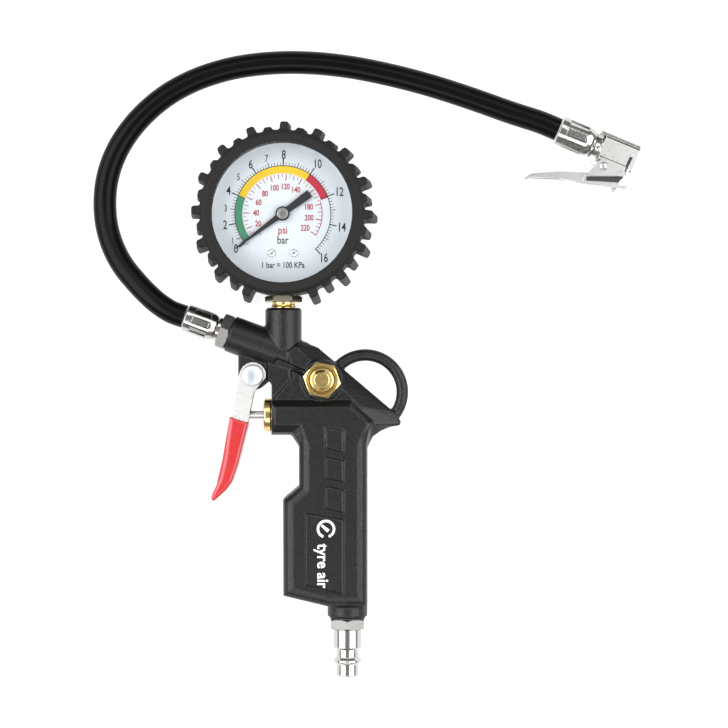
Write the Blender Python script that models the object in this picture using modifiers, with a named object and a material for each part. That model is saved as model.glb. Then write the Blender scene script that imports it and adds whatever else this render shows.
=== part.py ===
"""Tyre inflator with gauge: pistol casting, booted gauge, squeeze lever, hose and clip-on chuck.

The inflator lies on its side. Design sizes are in millimetres in the gun's own plane: u to the
right, v up the handle towards the gauge, w out of the upper side, all from the point where the
gauge's axis crosses the gun's middle plane. place() turns them into world metres.
"""
import math

import bmesh
import bpy
from mathutils import Matrix, Vector

MM = 0.001
GAP = 0.3                      # clearance between pieces that touch
REST_HALF = 14.0               # middle plane above the surface that the gun lies on
CENTRE_U, CENTRE_V = 4.77, -79.26  # middle of the gun's outline, which is the world origin
MERGE = 0.00001

# Gauge
BOOT_R, BOOT_INNER_R, BOOT_LIP_R = 34.9, 32.0, 29.6
BOOT_FRONT, BOOT_FLOOR, BOOT_LIP = 20.0, -12.0, 18.2
TOOTH_PITCHES = 32
TOOTH_LONG_R, TOOTH_SHORT_R, TOOTH_WIDTH, TOOTH_TIP_WIDTH = 38.3, 36.4, 3.8, 2.6
TOOTH_SPREAD, TOOTH_TURN = 2.4, -1.5
TOOTH_BACK, TOOTH_FRONT = -12.5, 18.4
CASE_R, CASE_WALL, CASE_BACK, CASE_FRONT = 31.7, 1.0, -11.7, 15.0
BEZEL_INNER_R, BEZEL_FRONT = 29.3, 17.9
WINDOW_R, WINDOW_BACK, WINDOW_FRONT = 30.4, 13.0, 14.8
DIAL_R, DIAL_BACK, DIAL_FRONT, DIAL_HOLE_R = 30.2, 7.6, 8.4, 2.2
DIAL_SCREW_U, DIAL_SCREW_V, DIAL_SCREW_R = 4.7, -16.8, 1.7
STOP_R, STOP_ANGLE = 19.6, 220.4
POINTER_ANGLE, POINTER_LENGTH, POINTER_TAIL, POINTER_W = 216.5, 25.0, 14.2, 9.6
SECTOR_V, SECTOR_R, PINION_R = -12.5, 11.0, 1.15
SECTOR_ANGLE, SECTOR_SPAN, SECTOR_TEETH, PINION_TEETH = 75.4, 44.0, 11, 10
PLATE_BACK_W, PLATE_FRONT_W, PLATE_THICK = -2.8, 4.6, 0.8
TUBE_R, TUBE_THICK, TUBE_START, TUBE_SWEEP = 23.5, 1.6, 250.0, 245.0
STEM_R, STEM_HEX_R, PORT_TOP = 5.0, 8.0, -39.9

# Body casting
BARREL_END, BARREL_ANGLE, BARREL_R, BARREL_LENGTH = (-22.9, -50.9), -20.2, 7.9, 33.0
PORT_U, PORT_R, PORT_LENGTH = 0.0, 7.8, 21.0
PIVOT = (-12.9, -68.8)
VALVE_V = -85.9
BLEED = (16.8, -70.8)
INLET_U, BOSS_R, BOSS_END = 27.5, 8.6, -172.4
LOOP_CENTRE, LOOP_R, LOOP_ROD = (35.2, -76.0), 15.9, 2.55
GRIP_ROUND = 4.5
RECESS = 0.8

# Hose and chuck
HOSE_R = 5.0
HOSE_LOW = -8.8                # height of the hose's axis where it lies on the surface
CHUCK, CHUCK_ANGLE, CHUCK_W = (119.0, 37.3), -22.5, -6.0
HOSE_ROUTE = [
    (-42.5, -43.69, 0.0), (-48.6, -41.4, -0.1), (-54.6, -37.4, -0.6), (-60.0, -32.5, -1.5),
    (-64.8, -27.3, -2.6), (-68.7, -22.6, -3.6), (-72.2, -17.0, -4.7), (-75.2, -10.0, -5.9),
    (-77.2, -2.0, -7.1), (-77.8, 7.0, -8.1), (-76.9, 16.0, -8.6), (-74.2, 25.0, HOSE_LOW),
    (-69.6, 33.8, HOSE_LOW), (-62.9, 42.4, HOSE_LOW), (-54.4, 50.2, HOSE_LOW),
    (-44.8, 56.4, HOSE_LOW), (-33.5, 61.3, HOSE_LOW), (-20.0, 64.9, HOSE_LOW),
    (-4.5, 66.7, HOSE_LOW), (11.5, 66.7, HOSE_LOW), (28.0, 65.0, HOSE_LOW),
    (45.0, 61.7, HOSE_LOW), (62.5, 57.2, HOSE_LOW), (80.0, 51.6, -8.6), (98.0, 45.1, -7.6),
    (110.4, 40.87, -6.2), (118.72, 37.42, CHUCK_W),
]
HOSE_POINTS = 36

for item in list(bpy.data.objects):
    bpy.data.objects.remove(item)

PARTS = bpy.data.collections.new("tyre_inflator")
CUTTERS = bpy.data.collections.new("cutters")
for group in (PARTS, CUTTERS):
    bpy.context.scene.collection.children.link(group)


def material(name, colour, roughness, metallic=0.0):
    made = bpy.data.materials.new(name)
    made.use_nodes = True
    shader = made.node_tree.nodes["Principled BSDF"]
    shader.inputs["Base Color"].default_value = (*colour, 1.0)
    shader.inputs["Roughness"].default_value = roughness
    shader.inputs["Metallic"].default_value = metallic
    return made


BLACK_PAINT = material("black_paint", (0.022, 0.023, 0.025), 0.42)
RUBBER = material("boot_rubber", (0.035, 0.033, 0.031), 0.72)
HOSE_RUBBER = material("hose_rubber", (0.012, 0.012, 0.013), 0.28)
STEEL = material("zinc_steel", (0.72, 0.73, 0.74), 0.3, 1.0)
NICKEL = material("nickel_plate", (0.66, 0.65, 0.62), 0.22, 1.0)
BRASS = material("brass", (0.83, 0.62, 0.26), 0.25, 1.0)
RED = material("red_plastic", (0.62, 0.02, 0.025), 0.18)
DIAL_WHITE = material("dial_white", (0.86, 0.88, 0.91), 0.45)
POINTER_BLACK = material("pointer_black", (0.01, 0.01, 0.011), 0.4)
CLEAR = material("clear_plastic", (0.92, 0.94, 0.95), 0.04)
SEAL = material("seal_rubber", (0.02, 0.02, 0.02), 0.6)


def place(u, v, w=0.0):
    return Vector((u - CENTRE_U, v - CENTRE_V, w + REST_HALF)) * MM


def lying(direction):
    """Rotation that lays a piece's own z along a direction, with its own y as upright as it can."""
    return Vector(direction).to_track_quat("Z", "Y").to_euler()


def add(name, mesh, look, where, turn=(0.0, 0.0, 0.0), cutter=False):
    made = bpy.data.objects.new(name, mesh)
    made.location = where
    made.rotation_euler = turn
    made.data.materials.append(look)
    if cutter:
        made.hide_render = True
        made.display_type = "WIRE"
    (CUTTERS if cutter else PARTS).objects.link(made)
    return made


def stack(rings):
    """A closed mesh through rings of equal point count, capped at both ends, in millimetres."""
    bm = bmesh.new()
    rows = [[bm.verts.new(Vector(point) * MM) for point in ring] for ring in rings]
    count = len(rows[0])
    for low, high in zip(rows, rows[1:]):
        for i in range(count):
            j = (i + 1) % count
            bm.faces.new((low[i], low[j], high[j], high[i]))
    bm.faces.new(list(reversed(rows[0])))
    bm.faces.new(rows[-1])
    bmesh.ops.recalc_face_normals(bm, faces=bm.faces)
    mesh = bpy.data.meshes.new("stack")
    bm.to_mesh(mesh)
    bm.free()
    return mesh


def flat(outline, low, high):
    return stack([[(x, y, z) for x, y in outline] for z in (low, high)])


def inset(outline, distance):
    """The outline, which runs anticlockwise, moved inwards by a distance with sharp corners."""
    moved = []
    for i, point in enumerate(outline):
        before = Vector(outline[i - 1])
        here = Vector(point)
        after = Vector(outline[(i + 1) % len(outline)])
        first = (here - before).normalized()
        second = (after - here).normalized()
        normal = Vector((-first.y - second.y, first.x + second.x))
        length = max(normal.length_squared / 2.0, 0.2)
        moved.append(tuple(here + normal * (distance / length)))
    return moved


def rounded_slab(outline, half, radius, steps=3):
    """A slab of an outline whose two rims are rounded."""
    profile = []
    for i in range(steps + 1):
        angle = math.pi / 2.0 * i / steps
        profile.append((radius * (1.0 - math.cos(angle)), half - radius + radius * math.sin(angle)))
    levels = [(d, -z) for d, z in reversed(profile)] + profile
    return stack([[(x, y, z) for x, y in inset(outline, d)] for d, z in levels])


def turned(name, profile, look, where, turn=(0.0, 0.0, 0.0), steps=24, closed=False, cutter=False):
    """A turned piece: its profile (radius, height) runs from the top down its outer side."""
    mesh = bpy.data.meshes.new(name)
    points = [(r * MM, 0.0, z * MM) for r, z in profile]
    edges = [(i, i + 1) for i in range(len(points) - 1)]
    if closed:
        edges.append((len(points) - 1, 0))
    mesh.from_pydata(points, edges, [])
    made = add(name, mesh, look, where, turn, cutter)
    screw = made.modifiers.new("turn", "SCREW")
    screw.steps = screw.render_steps = steps
    screw.use_merge_vertices = True
    screw.merge_threshold = MERGE
    return made


def rod(name, radius, low, high, look, where, turn=(0.0, 0.0, 0.0), steps=24, cutter=False):
    return turned(name, [(0.0, high), (radius, high), (radius, low), (0.0, low)], look, where, turn,
                  steps, cutter=cutter)


def ring(name, outer, inner, low, high, look, where, turn=(0.0, 0.0, 0.0), steps=24):
    profile = [(inner, high), (outer, high), (outer, low), (inner, low)]
    return turned(name, profile, look, where, turn, steps, closed=True)


def combine(piece, other, operation):
    change = piece.modifiers.new(other.name, "BOOLEAN")
    change.operation = operation
    change.object = other
    change.solver = "EXACT"


def cut(piece, other):
    combine(piece, other, "DIFFERENCE")


def join(piece, other):
    combine(piece, other, "UNION")


def cut_rod(piece, name, radius, low, high, where, turn=(0.0, 0.0, 0.0), steps=20):
    cut(piece, rod(name, radius, low, high, BLACK_PAINT, where, turn, steps, cutter=True))


def hexagon(radius, turn=0.0):
    angles = [math.radians(60.0 * i + turn) for i in range(6)]
    return [(radius * math.cos(a), radius * math.sin(a)) for a in angles]


def arc(centre, radius, start, sweep, count):
    angles = [math.radians(start + sweep * i / (count - 1)) for i in range(count)]
    return [(centre[0] + radius * math.cos(a), centre[1] + radius * math.sin(a)) for a in angles]


def wire(name, points, radius, look, where, turn=(0.0, 0.0, 0.0), sides=2):
    """A round wire or tube through points in millimetres, as a curve with capped ends."""
    curve = bpy.data.curves.new(name, "CURVE")
    curve.dimensions = "3D"
    curve.bevel_depth = radius * MM
    curve.bevel_resolution = sides
    curve.use_fill_caps = True
    curve.render_resolution_u = 0
    spline = curve.splines.new("POLY")
    spline.points.add(len(points) - 1)
    for slot, point in zip(spline.points, points):
        slot.co = (*(Vector(point) * MM), 1.0)
    return add(name, curve, look, where, turn)


def coil(name, radius, wire_radius, low, high, turns, look, where, turn=(0.0, 0.0, 0.0)):
    steps = 12
    count = int(turns * steps)
    points = []
    for i in range(count + 1):
        angle = 2.0 * math.pi * i / steps
        points.append((radius * math.cos(angle), radius * math.sin(angle),
                       low + (high - low) * i / count))
    return wire(name, points, wire_radius, look, where, turn, sides=1)


ALONG_U = lying((1.0, 0.0, 0.0))
DOWN_V = lying((0.0, -1.0, 0.0))
FRAME = place(0.0, 0.0, 0.0)


# ---------------------------------------------------------------- body casting
def head_mesh():
    """The web of the casting: a full outline in the middle, sloping to a smaller raised face."""
    outer = [(-4.6, -78.6), (-4.6, -88.0), (20.0, -94.0), (36.3, -99.5), (38.3, -95.2), (41.9, -92.6),
             (45.8, -91.0), (49.9, -90.3), (50.5, -88.7), (47.7, -84.8), (21.1, -62.2), (14.8, -56.9),
             (7.3, -53.9), (1.0, -58.0), (3.0, -70.8)]
    inner = [(-3.9, -78.9), (-3.9, -87.0), (20.0, -93.0), (33.0, -97.0), (34.6, -94.0), (36.4, -91.5),
             (37.2, -90.2), (37.4, -89.9), (37.0, -89.3), (33.4, -82.0), (14.9, -65.2), (12.4, -62.9),
             (5.4, -56.4), (2.2, -59.0), (4.3, -69.6)]
    middle, raised = 3.2, 8.5
    levels = [(inner, -raised), (outer, -middle), (outer, middle), (inner, raised)]
    return stack([[(x, y, z) for x, y in outline] for outline, z in levels])


def collar_mesh():
    """The thick part above the grip that holds the main valve."""
    base = [(-4.9, -79.3), (-4.9, -94.2), (3.6, -94.2), (7.2, -99.5), (36.2, -99.5), (38.4, -88.6),
            (29.0, -79.3)]
    belt = [(-4.6, -81.0), (-4.6, -93.0), (4.5, -93.0), (8.0, -99.5), (35.2, -99.5), (37.3, -88.8),
            (28.8, -81.0)]
    face = [(-3.4, -82.2), (-3.4, -89.6), (8.0, -89.6), (11.4, -99.5), (31.6, -99.5), (36.4, -89.0),
            (28.7, -82.2)]
    levels = [(face, -13.9), (belt, -11.6), (base, -8.2), (base, 8.2), (belt, 11.6), (face, 13.9)]
    return stack([[(x, y, z) for x, y in outline] for outline, z in levels])


def gun_body():
    body = add("gun_body", head_mesh(), BLACK_PAINT, FRAME)
    join(body, add("collar", collar_mesh(), BLACK_PAINT, FRAME, cutter=True))
    grip = [(6.9, -92.0), (6.9, -116.0), (0.1, -121.6), (0.2, -162.7), (19.5, -167.3),
            (36.1, -167.3), (36.1, -92.0)]
    join(body, add("grip", rounded_slab(grip, REST_HALF, GRIP_ROUND), BLACK_PAINT, FRAME, cutter=True))
    join(body, rod("inlet_boss", BOSS_R, 0.0, 12.4, BLACK_PAINT, place(INLET_U, BOSS_END + 12.4),
                   DOWN_V, 28, cutter=True))
    angle = math.radians(BARREL_ANGLE)
    barrel = lying((math.cos(angle), math.sin(angle), 0.0))
    join(body, rod("barrel", BARREL_R, 0.0, BARREL_LENGTH, BLACK_PAINT, place(*BARREL_END), barrel,
                   32, cutter=True))
    port = [(0.0, 0.0), (PORT_R - 0.8, 0.0), (PORT_R, -0.8), (PORT_R, -PORT_LENGTH + 2.5),
            (PORT_R - 2.5, -PORT_LENGTH), (0.0, -PORT_LENGTH)]
    join(body, turned("port", port, BLACK_PAINT, place(PORT_U, PORT_TOP), lying((0.0, 1.0, 0.0)), 32,
                      cutter=True))
    web = [(-6.6, -57.5), (-6.6, -70.8), (-4.95, -72.8), (-4.95, -80.0), (3.0, -80.0), (8.0, -66.0),
           (8.0, -57.5)]
    join(body, add("web", flat(web, -5.2, 5.2), BLACK_PAINT, FRAME, cutter=True))
    lug = [(-5.5, -57.0), (-19.2, -53.0)] + arc(PIVOT, 6.4, 180.0, 122.0, 8) + [(-6.7, -71.9)]
    join(body, add("lug", flat(lug, -4.2, 4.2), BLACK_PAINT, FRAME, cutter=True))
    join(body, rod("bleed_boss", 8.7, 0.0, 9.8, BLACK_PAINT, place(*BLEED), steps=28, cutter=True))
    panels = [
        [(17.9, -90.6), (18.3, -99.6), (26.0, -101.6), (26.0, -92.2)],
        [(18.1, -103.2), (18.1, -112.3), (26.0, -114.0), (26.0, -104.8)],
        [(18.1, -115.6), (18.1, -125.0), (26.0, -127.0), (26.0, -117.2)],
        [(9.7, -127.0), (9.6, -157.6), (26.0, -161.5), (26.0, -129.8)],
    ]
    for i, outline in enumerate(panels):
        for side, low in (("upper", REST_HALF - RECESS), ("lower", -REST_HALF - RECESS)):
            mesh = flat(outline, low, low + 2.0 * RECESS)
            cut(body, add(f"panel_{side}_{i}", mesh, BLACK_PAINT, FRAME, cutter=True))
    cut_rod(body, "barrel_bore", 4.9, -1.0, 12.0, place(*BARREL_END), barrel)
    cut_rod(body, "barrel_passage", 2.0, 10.0, 44.0, place(*BARREL_END), barrel, 12)
    cut_rod(body, "gauge_bore", 5.0, -1.0, 12.0, place(PORT_U, PORT_TOP), DOWN_V)
    cut_rod(body, "gauge_passage", 1.7, 10.0, 19.0, place(PORT_U, PORT_TOP), DOWN_V, 10)
    cut_rod(body, "valve_bore", 5.3, -2.0, 29.4, place(-4.9, VALVE_V), ALONG_U)
    cut_rod(body, "valve_outlet", 1.8, 0.0, 22.4, place(4.2, VALVE_V), lying((0.0, 1.0, 0.0)), 10)
    cut_rod(body, "bleed_bore", 4.6, -4.0, 11.0, place(*BLEED))
    cut_rod(body, "inlet_bore", 6.0, -1.0, 14.0, place(INLET_U, BOSS_END), lying((0.0, 1.0, 0.0)))
    cut_rod(body, "inlet_passage", 4.0, 10.0, 86.5, place(INLET_U, BOSS_END), lying((0.0, 1.0, 0.0)),
            16)
    cut_rod(body, "pivot_hole", 2.4, -6.0, 6.0, place(*PIVOT), steps=16)


def hanging_loop():
    """The loop's rod stops just clear of the casting's sloping back."""
    points = [(x, y, 0.0) for x, y in arc(LOOP_CENTRE, LOOP_R, 132.4, -165.4, 17)]
    wire("hanging_loop", points, LOOP_ROD, BLACK_PAINT, FRAME, sides=3)


# ---------------------------------------------------------------- main valve and lever
def main_valve():
    nut = [(2.1, 7.2), (5.0, 7.2), (5.0, -0.3), (6.4, -0.3), (7.1, -1.0), (7.1, -2.8), (6.4, -3.4),
           (2.1, -3.4)]
    turned("gland_nut", nut, BRASS, place(-4.9, VALVE_V), ALONG_U, 28, closed=True)
    ring("gland_oring", 4.7, 2.1, 2.7, 4.5, SEAL, place(-4.9 + 5.0, VALVE_V), ALONG_U, 20)
    pin = [(0.0, 30.0), (1.75, 30.0), (1.75, 0.6), (1.15, 0.0), (0.0, 0.0)]
    turned("valve_pin", pin, STEEL, place(-19.9, VALVE_V), ALONG_U, 16)
    ring("valve_seat", 4.9, 2.6, 0.0, 3.6, BRASS, place(6.0, VALVE_V), ALONG_U, 24)
    poppet = [(0.0, 3.4), (2.0, 3.4), (2.6, 2.4), (4.2, 2.4), (4.2, 0.0), (0.0, 0.0)]
    turned("valve_poppet", poppet, BRASS, place(10.4, VALVE_V), ALONG_U, 24)
    coil("valve_spring", 3.4, 0.4, 13.6, 23.4, 5.0, STEEL, place(0.0, VALVE_V), ALONG_U)


def lever_pieces():
    """The lever's own origin is on its pivot."""
    origin = place(*PIVOT)
    front = [(-6.6, -4.0), (-7.6, -10.0), (-9.2, -18.0), (-10.9, -27.0), (-12.4, -36.0), (-14.2, -43.6)]
    thick = 1.4
    back = [(x + thick, y) for x, y in reversed(front)]
    lever = add("lever", flat(front + back, -6.0, 6.0), STEEL, origin)
    cheek = arc((0.0, 0.0), 5.6, -10.0, 170.0, 9) + [(-6.7, -2.6), (-9.2, -18.0), (-9.5, -20.0),
                                                     (-2.2, -20.0), (0.4, -7.0)]
    for side, low in (("upper", 4.6), ("lower", -6.0)):
        join(lever, add(f"cheek_{side}", flat(cheek, low, low + thick), STEEL, origin, cutter=True))
    cut_rod(lever, "lever_pivot_hole", 2.4, -8.0, 8.0, origin, steps=16)
    sleeve = [(-9.8, -17.5), (-12.2, -35.2), (-14.2, -44.0), (-17.6, -51.0), (-17.9, -53.2),
              (-16.6, -53.9), (-11.6, -49.4), (-8.9, -45.8), (-6.2, -37.9), (-1.8, -20.2)]
    grip = add("lever_sleeve", rounded_slab(sleeve, 7.4, 1.4, 2), RED, origin)
    pocket = [(x - GAP, y - GAP) for x, y in front] + [(x + GAP, y - GAP) for x, y in back]
    cut(grip, add("sleeve_pocket", flat(pocket, -6.3, 6.3), RED, origin, cutter=True))
    mouth = [(-10.8, -16.0), (-11.2, -20.5), (-1.0, -20.5), (-1.0, -16.0)]
    cut(grip, add("sleeve_mouth", flat(mouth, -6.3, 6.3), RED, origin, cutter=True))
    pin = [(0.0, 8.3), (2.6, 7.9), (4.4, 6.8), (4.4, 6.3), (2.1, 6.3), (2.1, -6.3), (3.6, -6.3),
           (3.6, -7.0), (2.4, -7.6), (0.0, -7.6)]
    turned("lever_pivot_pin", pin, STEEL, origin, steps=24)


# ---------------------------------------------------------------- deflate valve
def bleed_valve():
    where = place(*BLEED)
    housing = add("bleed_housing", flat(hexagon(8.08, -11.0), 10.1, 14.6), BRASS, where)
    join(housing, rod("bleed_neck", 4.3, 1.3, 10.6, BRASS, where, steps=20, cutter=True))
    cut_rod(housing, "bleed_pocket", 5.7, 10.9, 16.0, where, steps=24)
    cut_rod(housing, "bleed_through", 2.0, 0.0, 12.0, where, steps=16)
    button = [(0.0, 16.8), (3.1, 16.8), (4.9, 15.2), (5.1, 13.3), (1.6, 13.3), (1.6, -1.2), (0.0, -1.2)]
    turned("bleed_button", button, BRASS, where, steps=24)
    ring("bleed_seal", 3.2, 1.9, -0.9, 0.7, SEAL, where, steps=20)
    coil("bleed_spring", 3.0, 0.35, 11.6, 12.7, 1.5, STEEL, where)


# ---------------------------------------------------------------- air inlet
def inlet():
    top = place(INLET_U, BOSS_END)
    outer = [(0.0, 25.7), (4.3, 25.7), (4.85, 25.1), (4.85, 20.4), (5.95, 19.6), (5.95, 18.6),
             (4.75, 17.4), (4.75, 13.7), (6.0, 13.0), (6.0, 4.9), (5.7, 1.4), (5.7, -11.5),
             (0.0, -11.5)]
    plug = turned("inlet_plug", outer, NICKEL, top, DOWN_V, 28)
    join(plug, add("inlet_hex", flat(hexagon(8.2, 30.0), 1.1, 5.2), NICKEL, top, DOWN_V, cutter=True))
    cut_rod(plug, "inlet_hole", 3.4, -13.0, 27.0, top, DOWN_V, 20)
    ring("inlet_washer", 7.6, 6.1, GAP, 0.8, SEAL, top, DOWN_V, 24)
    cup = [(0.0, 0.8), (2.6, 0.8), (2.6, 8.0), (3.5, 8.0), (3.5, 0.0), (0.0, 0.0)]
    strainer = [(r, -z) for r, z in cup]
    turned("inlet_filter", [(r, z) for r, z in reversed(strainer)], BRASS,
           place(INLET_U, BOSS_END + 13.0), DOWN_V, 16)


# ---------------------------------------------------------------- gauge
def toothed_outline(grow=0.0):
    """The boot's outline: long and short teeth in turn, and none where the stem comes out."""
    step = 360.0 / TOOTH_PITCHES
    outline = []
    base = BOOT_R - 0.4
    for i in range(TOOTH_PITCHES):
        middle = 90.0 + TOOTH_TURN + i * step
        side = math.degrees(math.asin(TOOTH_WIDTH / 2.0 / base))
        if abs((middle - 270.0 + 180.0) % 360.0 - 180.0) < 1.5 * step:
            outline += arc((0.0, 0.0), base, middle - side, 2.0 * side, 2)
            continue
        tip_r = (TOOTH_LONG_R if i % 2 == 0 else TOOTH_SHORT_R) + grow
        half = math.degrees(math.asin(TOOTH_TIP_WIDTH / 2.0 / tip_r))
        shoulder_r = tip_r - 0.8
        wide = math.degrees(math.asin(TOOTH_WIDTH / 2.0 / shoulder_r))
        for radius, angle in ((base, -side), (shoulder_r, -wide), (tip_r, -half), (tip_r, half),
                              (shoulder_r, wide), (base, side)):
            outline += arc((0.0, 0.0), radius, middle + angle, 0.0, 2)[:1]
    return outline


def gauge_boot():
    """The teeth stand out further towards the back, where the boot leaves its mould."""
    levels = ((TOOTH_SPREAD, TOOTH_BACK), (0.0, TOOTH_FRONT))
    ribs = stack([[(x, y, z) for x, y in toothed_outline(grow)] for grow, z in levels])
    boot = add("gauge_boot", ribs, RUBBER, FRAME)
    shell = [(0.0, BOOT_FRONT), (BOOT_R - 1.6, BOOT_FRONT), (BOOT_R, BOOT_FRONT - 1.6),
             (BOOT_R, -12.6), (BOOT_R - 1.4, -REST_HALF), (0.0, -REST_HALF)]
    join(boot, turned("boot_shell", shell, RUBBER, FRAME, steps=64, cutter=True))
    hollow = [(0.0, 22.0), (BOOT_LIP_R, 22.0), (BOOT_LIP_R, BOOT_LIP), (BOOT_INNER_R, BOOT_LIP),
              (BOOT_INNER_R, BOOT_FLOOR), (0.0, BOOT_FLOOR)]
    cut(boot, turned("boot_hollow", hollow, RUBBER, FRAME, steps=64, cutter=True))
    cut_rod(boot, "boot_notch", 5.6, 26.0, 42.0, place(0.0, 0.0), DOWN_V, 20)


def gauge_case():
    inner = CASE_R - CASE_WALL
    cup = [(inner, CASE_FRONT), (CASE_R, CASE_FRONT), (CASE_R, CASE_BACK), (0.0, CASE_BACK)]
    hollow = [(0.0, CASE_FRONT + 2.0), (inner, CASE_FRONT + 2.0), (inner, CASE_BACK + CASE_WALL),
              (0.0, CASE_BACK + CASE_WALL)]
    case = turned("gauge_case", [(0.0, CASE_FRONT)] + cup[1:], STEEL, FRAME, steps=48)
    cut(case, turned("case_hollow", hollow, STEEL, FRAME, steps=48, cutter=True))
    cut_rod(case, "case_notch", 5.4, 26.0, 36.0, place(0.0, 0.0), DOWN_V, 20)
    ring("gauge_bezel", CASE_R, BEZEL_INNER_R, CASE_FRONT + GAP, BEZEL_FRONT, STEEL, FRAME, steps=48)
    rod("gauge_window", WINDOW_R, WINDOW_BACK, WINDOW_FRONT, CLEAR, FRAME, steps=48)


def gauge_dial():
    ring("gauge_dial", DIAL_R, DIAL_HOLE_R, DIAL_BACK, DIAL_FRONT, DIAL_WHITE, FRAME, steps=48)
    dial = bpy.data.objects["gauge_dial"]
    for side, u in (("left", -DIAL_SCREW_U), ("right", DIAL_SCREW_U)):
        where = place(u, DIAL_SCREW_V)
        head = [(0.0, 9.5), (1.2, 9.4), (DIAL_SCREW_R, 8.7), (0.8, 8.7), (0.8, 5.7), (0.0, 5.7)]
        turned(f"dial_screw_{side}", head, STEEL, where, steps=14)
        cut_rod(dial, f"dial_hole_{side}", 1.1, 6.0, 10.0, where, steps=12)
    angle = math.radians(STOP_ANGLE)
    stop = place(STOP_R * math.cos(angle), STOP_R * math.sin(angle))
    cut_rod(dial, "stop_hole", 0.8, 6.0, 10.0, stop, steps=12)
    rod("zero_stop_pin", 0.5, 7.0, 10.6, STEEL, stop, steps=10)


def pointer():
    turn = (0.0, 0.0, math.radians(POINTER_ANGLE))
    blade = [(-POINTER_TAIL, -1.3), (-3.6, -1.3), (-2.0, -2.3), (2.0, -2.3), (3.6, -0.95),
             (POINTER_LENGTH, -0.22), (POINTER_LENGTH, 0.22), (3.6, 0.95), (2.0, 2.3), (-2.0, 2.3),
             (-3.6, 1.3), (-POINTER_TAIL, 1.3)]
    hand = add("pointer", flat(blade, POINTER_W, POINTER_W + 0.5), POINTER_BLACK, FRAME, turn)
    join(hand, rod("pointer_ring", 3.0, POINTER_W - 0.4, POINTER_W + 0.9, POINTER_BLACK, FRAME,
                   steps=20, cutter=True))
    cut_rod(hand, "pointer_bore", 1.6, 0.0, 14.0, FRAME, steps=16)
    hub = [(0.0, 11.6), (1.9, 11.6), (2.4, 11.3), (2.4, 10.8), (1.3, 10.8), (1.3, 8.9), (0.0, 8.9)]
    turned("pointer_hub", hub, STEEL, FRAME, steps=20)


def movement():
    def plate(name, outline, low):
        return add(name, flat(outline, low, low + PLATE_THICK), BRASS, FRAME)

    back = plate("movement_plate_back", [(-9.0, -25.5), (9.0, -25.5), (9.0, 5.5), (-9.0, 5.5)],
                 PLATE_BACK_W)
    front = plate("movement_plate_front", [(-9.0, -18.0), (9.0, -18.0), (9.0, 5.5), (-9.0, 5.5)],
                  PLATE_FRONT_W)
    for frame in (back, front):
        for name, v in (("arbor", 0.0), ("sector", SECTOR_V)):
            cut_rod(frame, f"{frame.name}_{name}_hole", 0.9, -5.0, 8.0, place(0.0, v), steps=12)
    for name, u, v in (("a", -7.0, 3.5), ("b", 7.0, 3.5), ("c", -7.0, -15.5)):
        rod(f"movement_pillar_{name}", 1.2, PLATE_BACK_W + PLATE_THICK + GAP, PLATE_FRONT_W - GAP,
            BRASS, place(u, v), steps=12)
    arbor = rod("pinion_arbor", 0.6, -3.4, 8.6, STEEL, FRAME, steps=12)
    pinion = []
    for i in range(PINION_TEETH):
        tooth = 360.0 / PINION_TEETH * i
        pinion += arc((0.0, 0.0), 0.85, tooth - 12.0, 0.0, 2)[:1] + arc(
            (0.0, 0.0), PINION_R, tooth - 6.0, 12.0, 2) + arc((0.0, 0.0), 0.85, tooth + 12.0, 0.0, 2)[:1]
    join(arbor, add("pinion", flat(pinion, 0.5, 2.5), STEEL, FRAME, cutter=True))
    origin = place(0.0, SECTOR_V)
    pitch = SECTOR_SPAN / SECTOR_TEETH
    start = SECTOR_ANGLE - SECTOR_SPAN / 2.0
    rim = []
    for i in range(SECTOR_TEETH):
        middle = start + pitch * (i + 0.5)
        rim += arc((0.0, 0.0), SECTOR_R - 0.5, middle - pitch * 0.32, 0.0, 2)[:1]
        rim += arc((0.0, 0.0), SECTOR_R, middle - pitch * 0.16, pitch * 0.32, 2)
        rim += arc((0.0, 0.0), SECTOR_R - 0.5, middle + pitch * 0.32, 0.0, 2)[:1]
    outline = rim + [(-1.6, 0.6), (-1.6, -1.2), (9.4, -2.0), (9.4, 0.2), (2.4, 1.0)]
    sector = add("sector_gear", flat(outline, 1.0, 2.0), BRASS, origin)
    cut_rod(sector, "sector_bore", 0.9, 0.0, 4.0, origin, steps=12)
    rod("sector_arbor", 0.6, -3.2, 5.6, STEEL, origin, steps=12)
    count = 44
    spiral = []
    for i in range(count + 1):
        angle = 2.0 * math.pi * 3.0 * i / count
        radius = 1.5 + 3.0 * i / count
        spiral.append((radius * math.cos(angle), radius * math.sin(angle), 3.6))
    wire("hairspring", spiral, 0.15, BRASS, FRAME, sides=0)


def pressure_parts():
    outer = arc((0.0, 0.0), TUBE_R + TUBE_THICK / 2.0, TUBE_START, -TUBE_SWEEP, 33)
    inner = arc((0.0, 0.0), TUBE_R - TUBE_THICK / 2.0, TUBE_START - TUBE_SWEEP, TUBE_SWEEP, 33)
    add("bourdon_tube", flat(outer + inner, -9.0, -3.4), BRASS, FRAME)
    block = [(-7.2, -28.0), (7.2, -28.0), (7.2, -19.5), (-7.2, -19.5)]
    socket = add("gauge_socket", flat(block, -9.0, -3.1), BRASS, FRAME)
    stem = [(0.0, 51.0), (4.6, 51.0), (4.6, 39.55), (5.4, 39.55), (5.4, 38.0), (STEM_R, 36.0),
            (STEM_R, 26.0), (0.0, 26.0)]
    join(socket, turned("stem", stem, BRASS, FRAME, DOWN_V, 24, cutter=True))
    join(socket, add("stem_hex", flat(hexagon(STEM_HEX_R), 35.5, 38.6), BRASS, FRAME, DOWN_V,
                     cutter=True))
    cut_rod(socket, "stem_bore", 1.5, 24.0, 53.0, FRAME, DOWN_V, 12)


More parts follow.
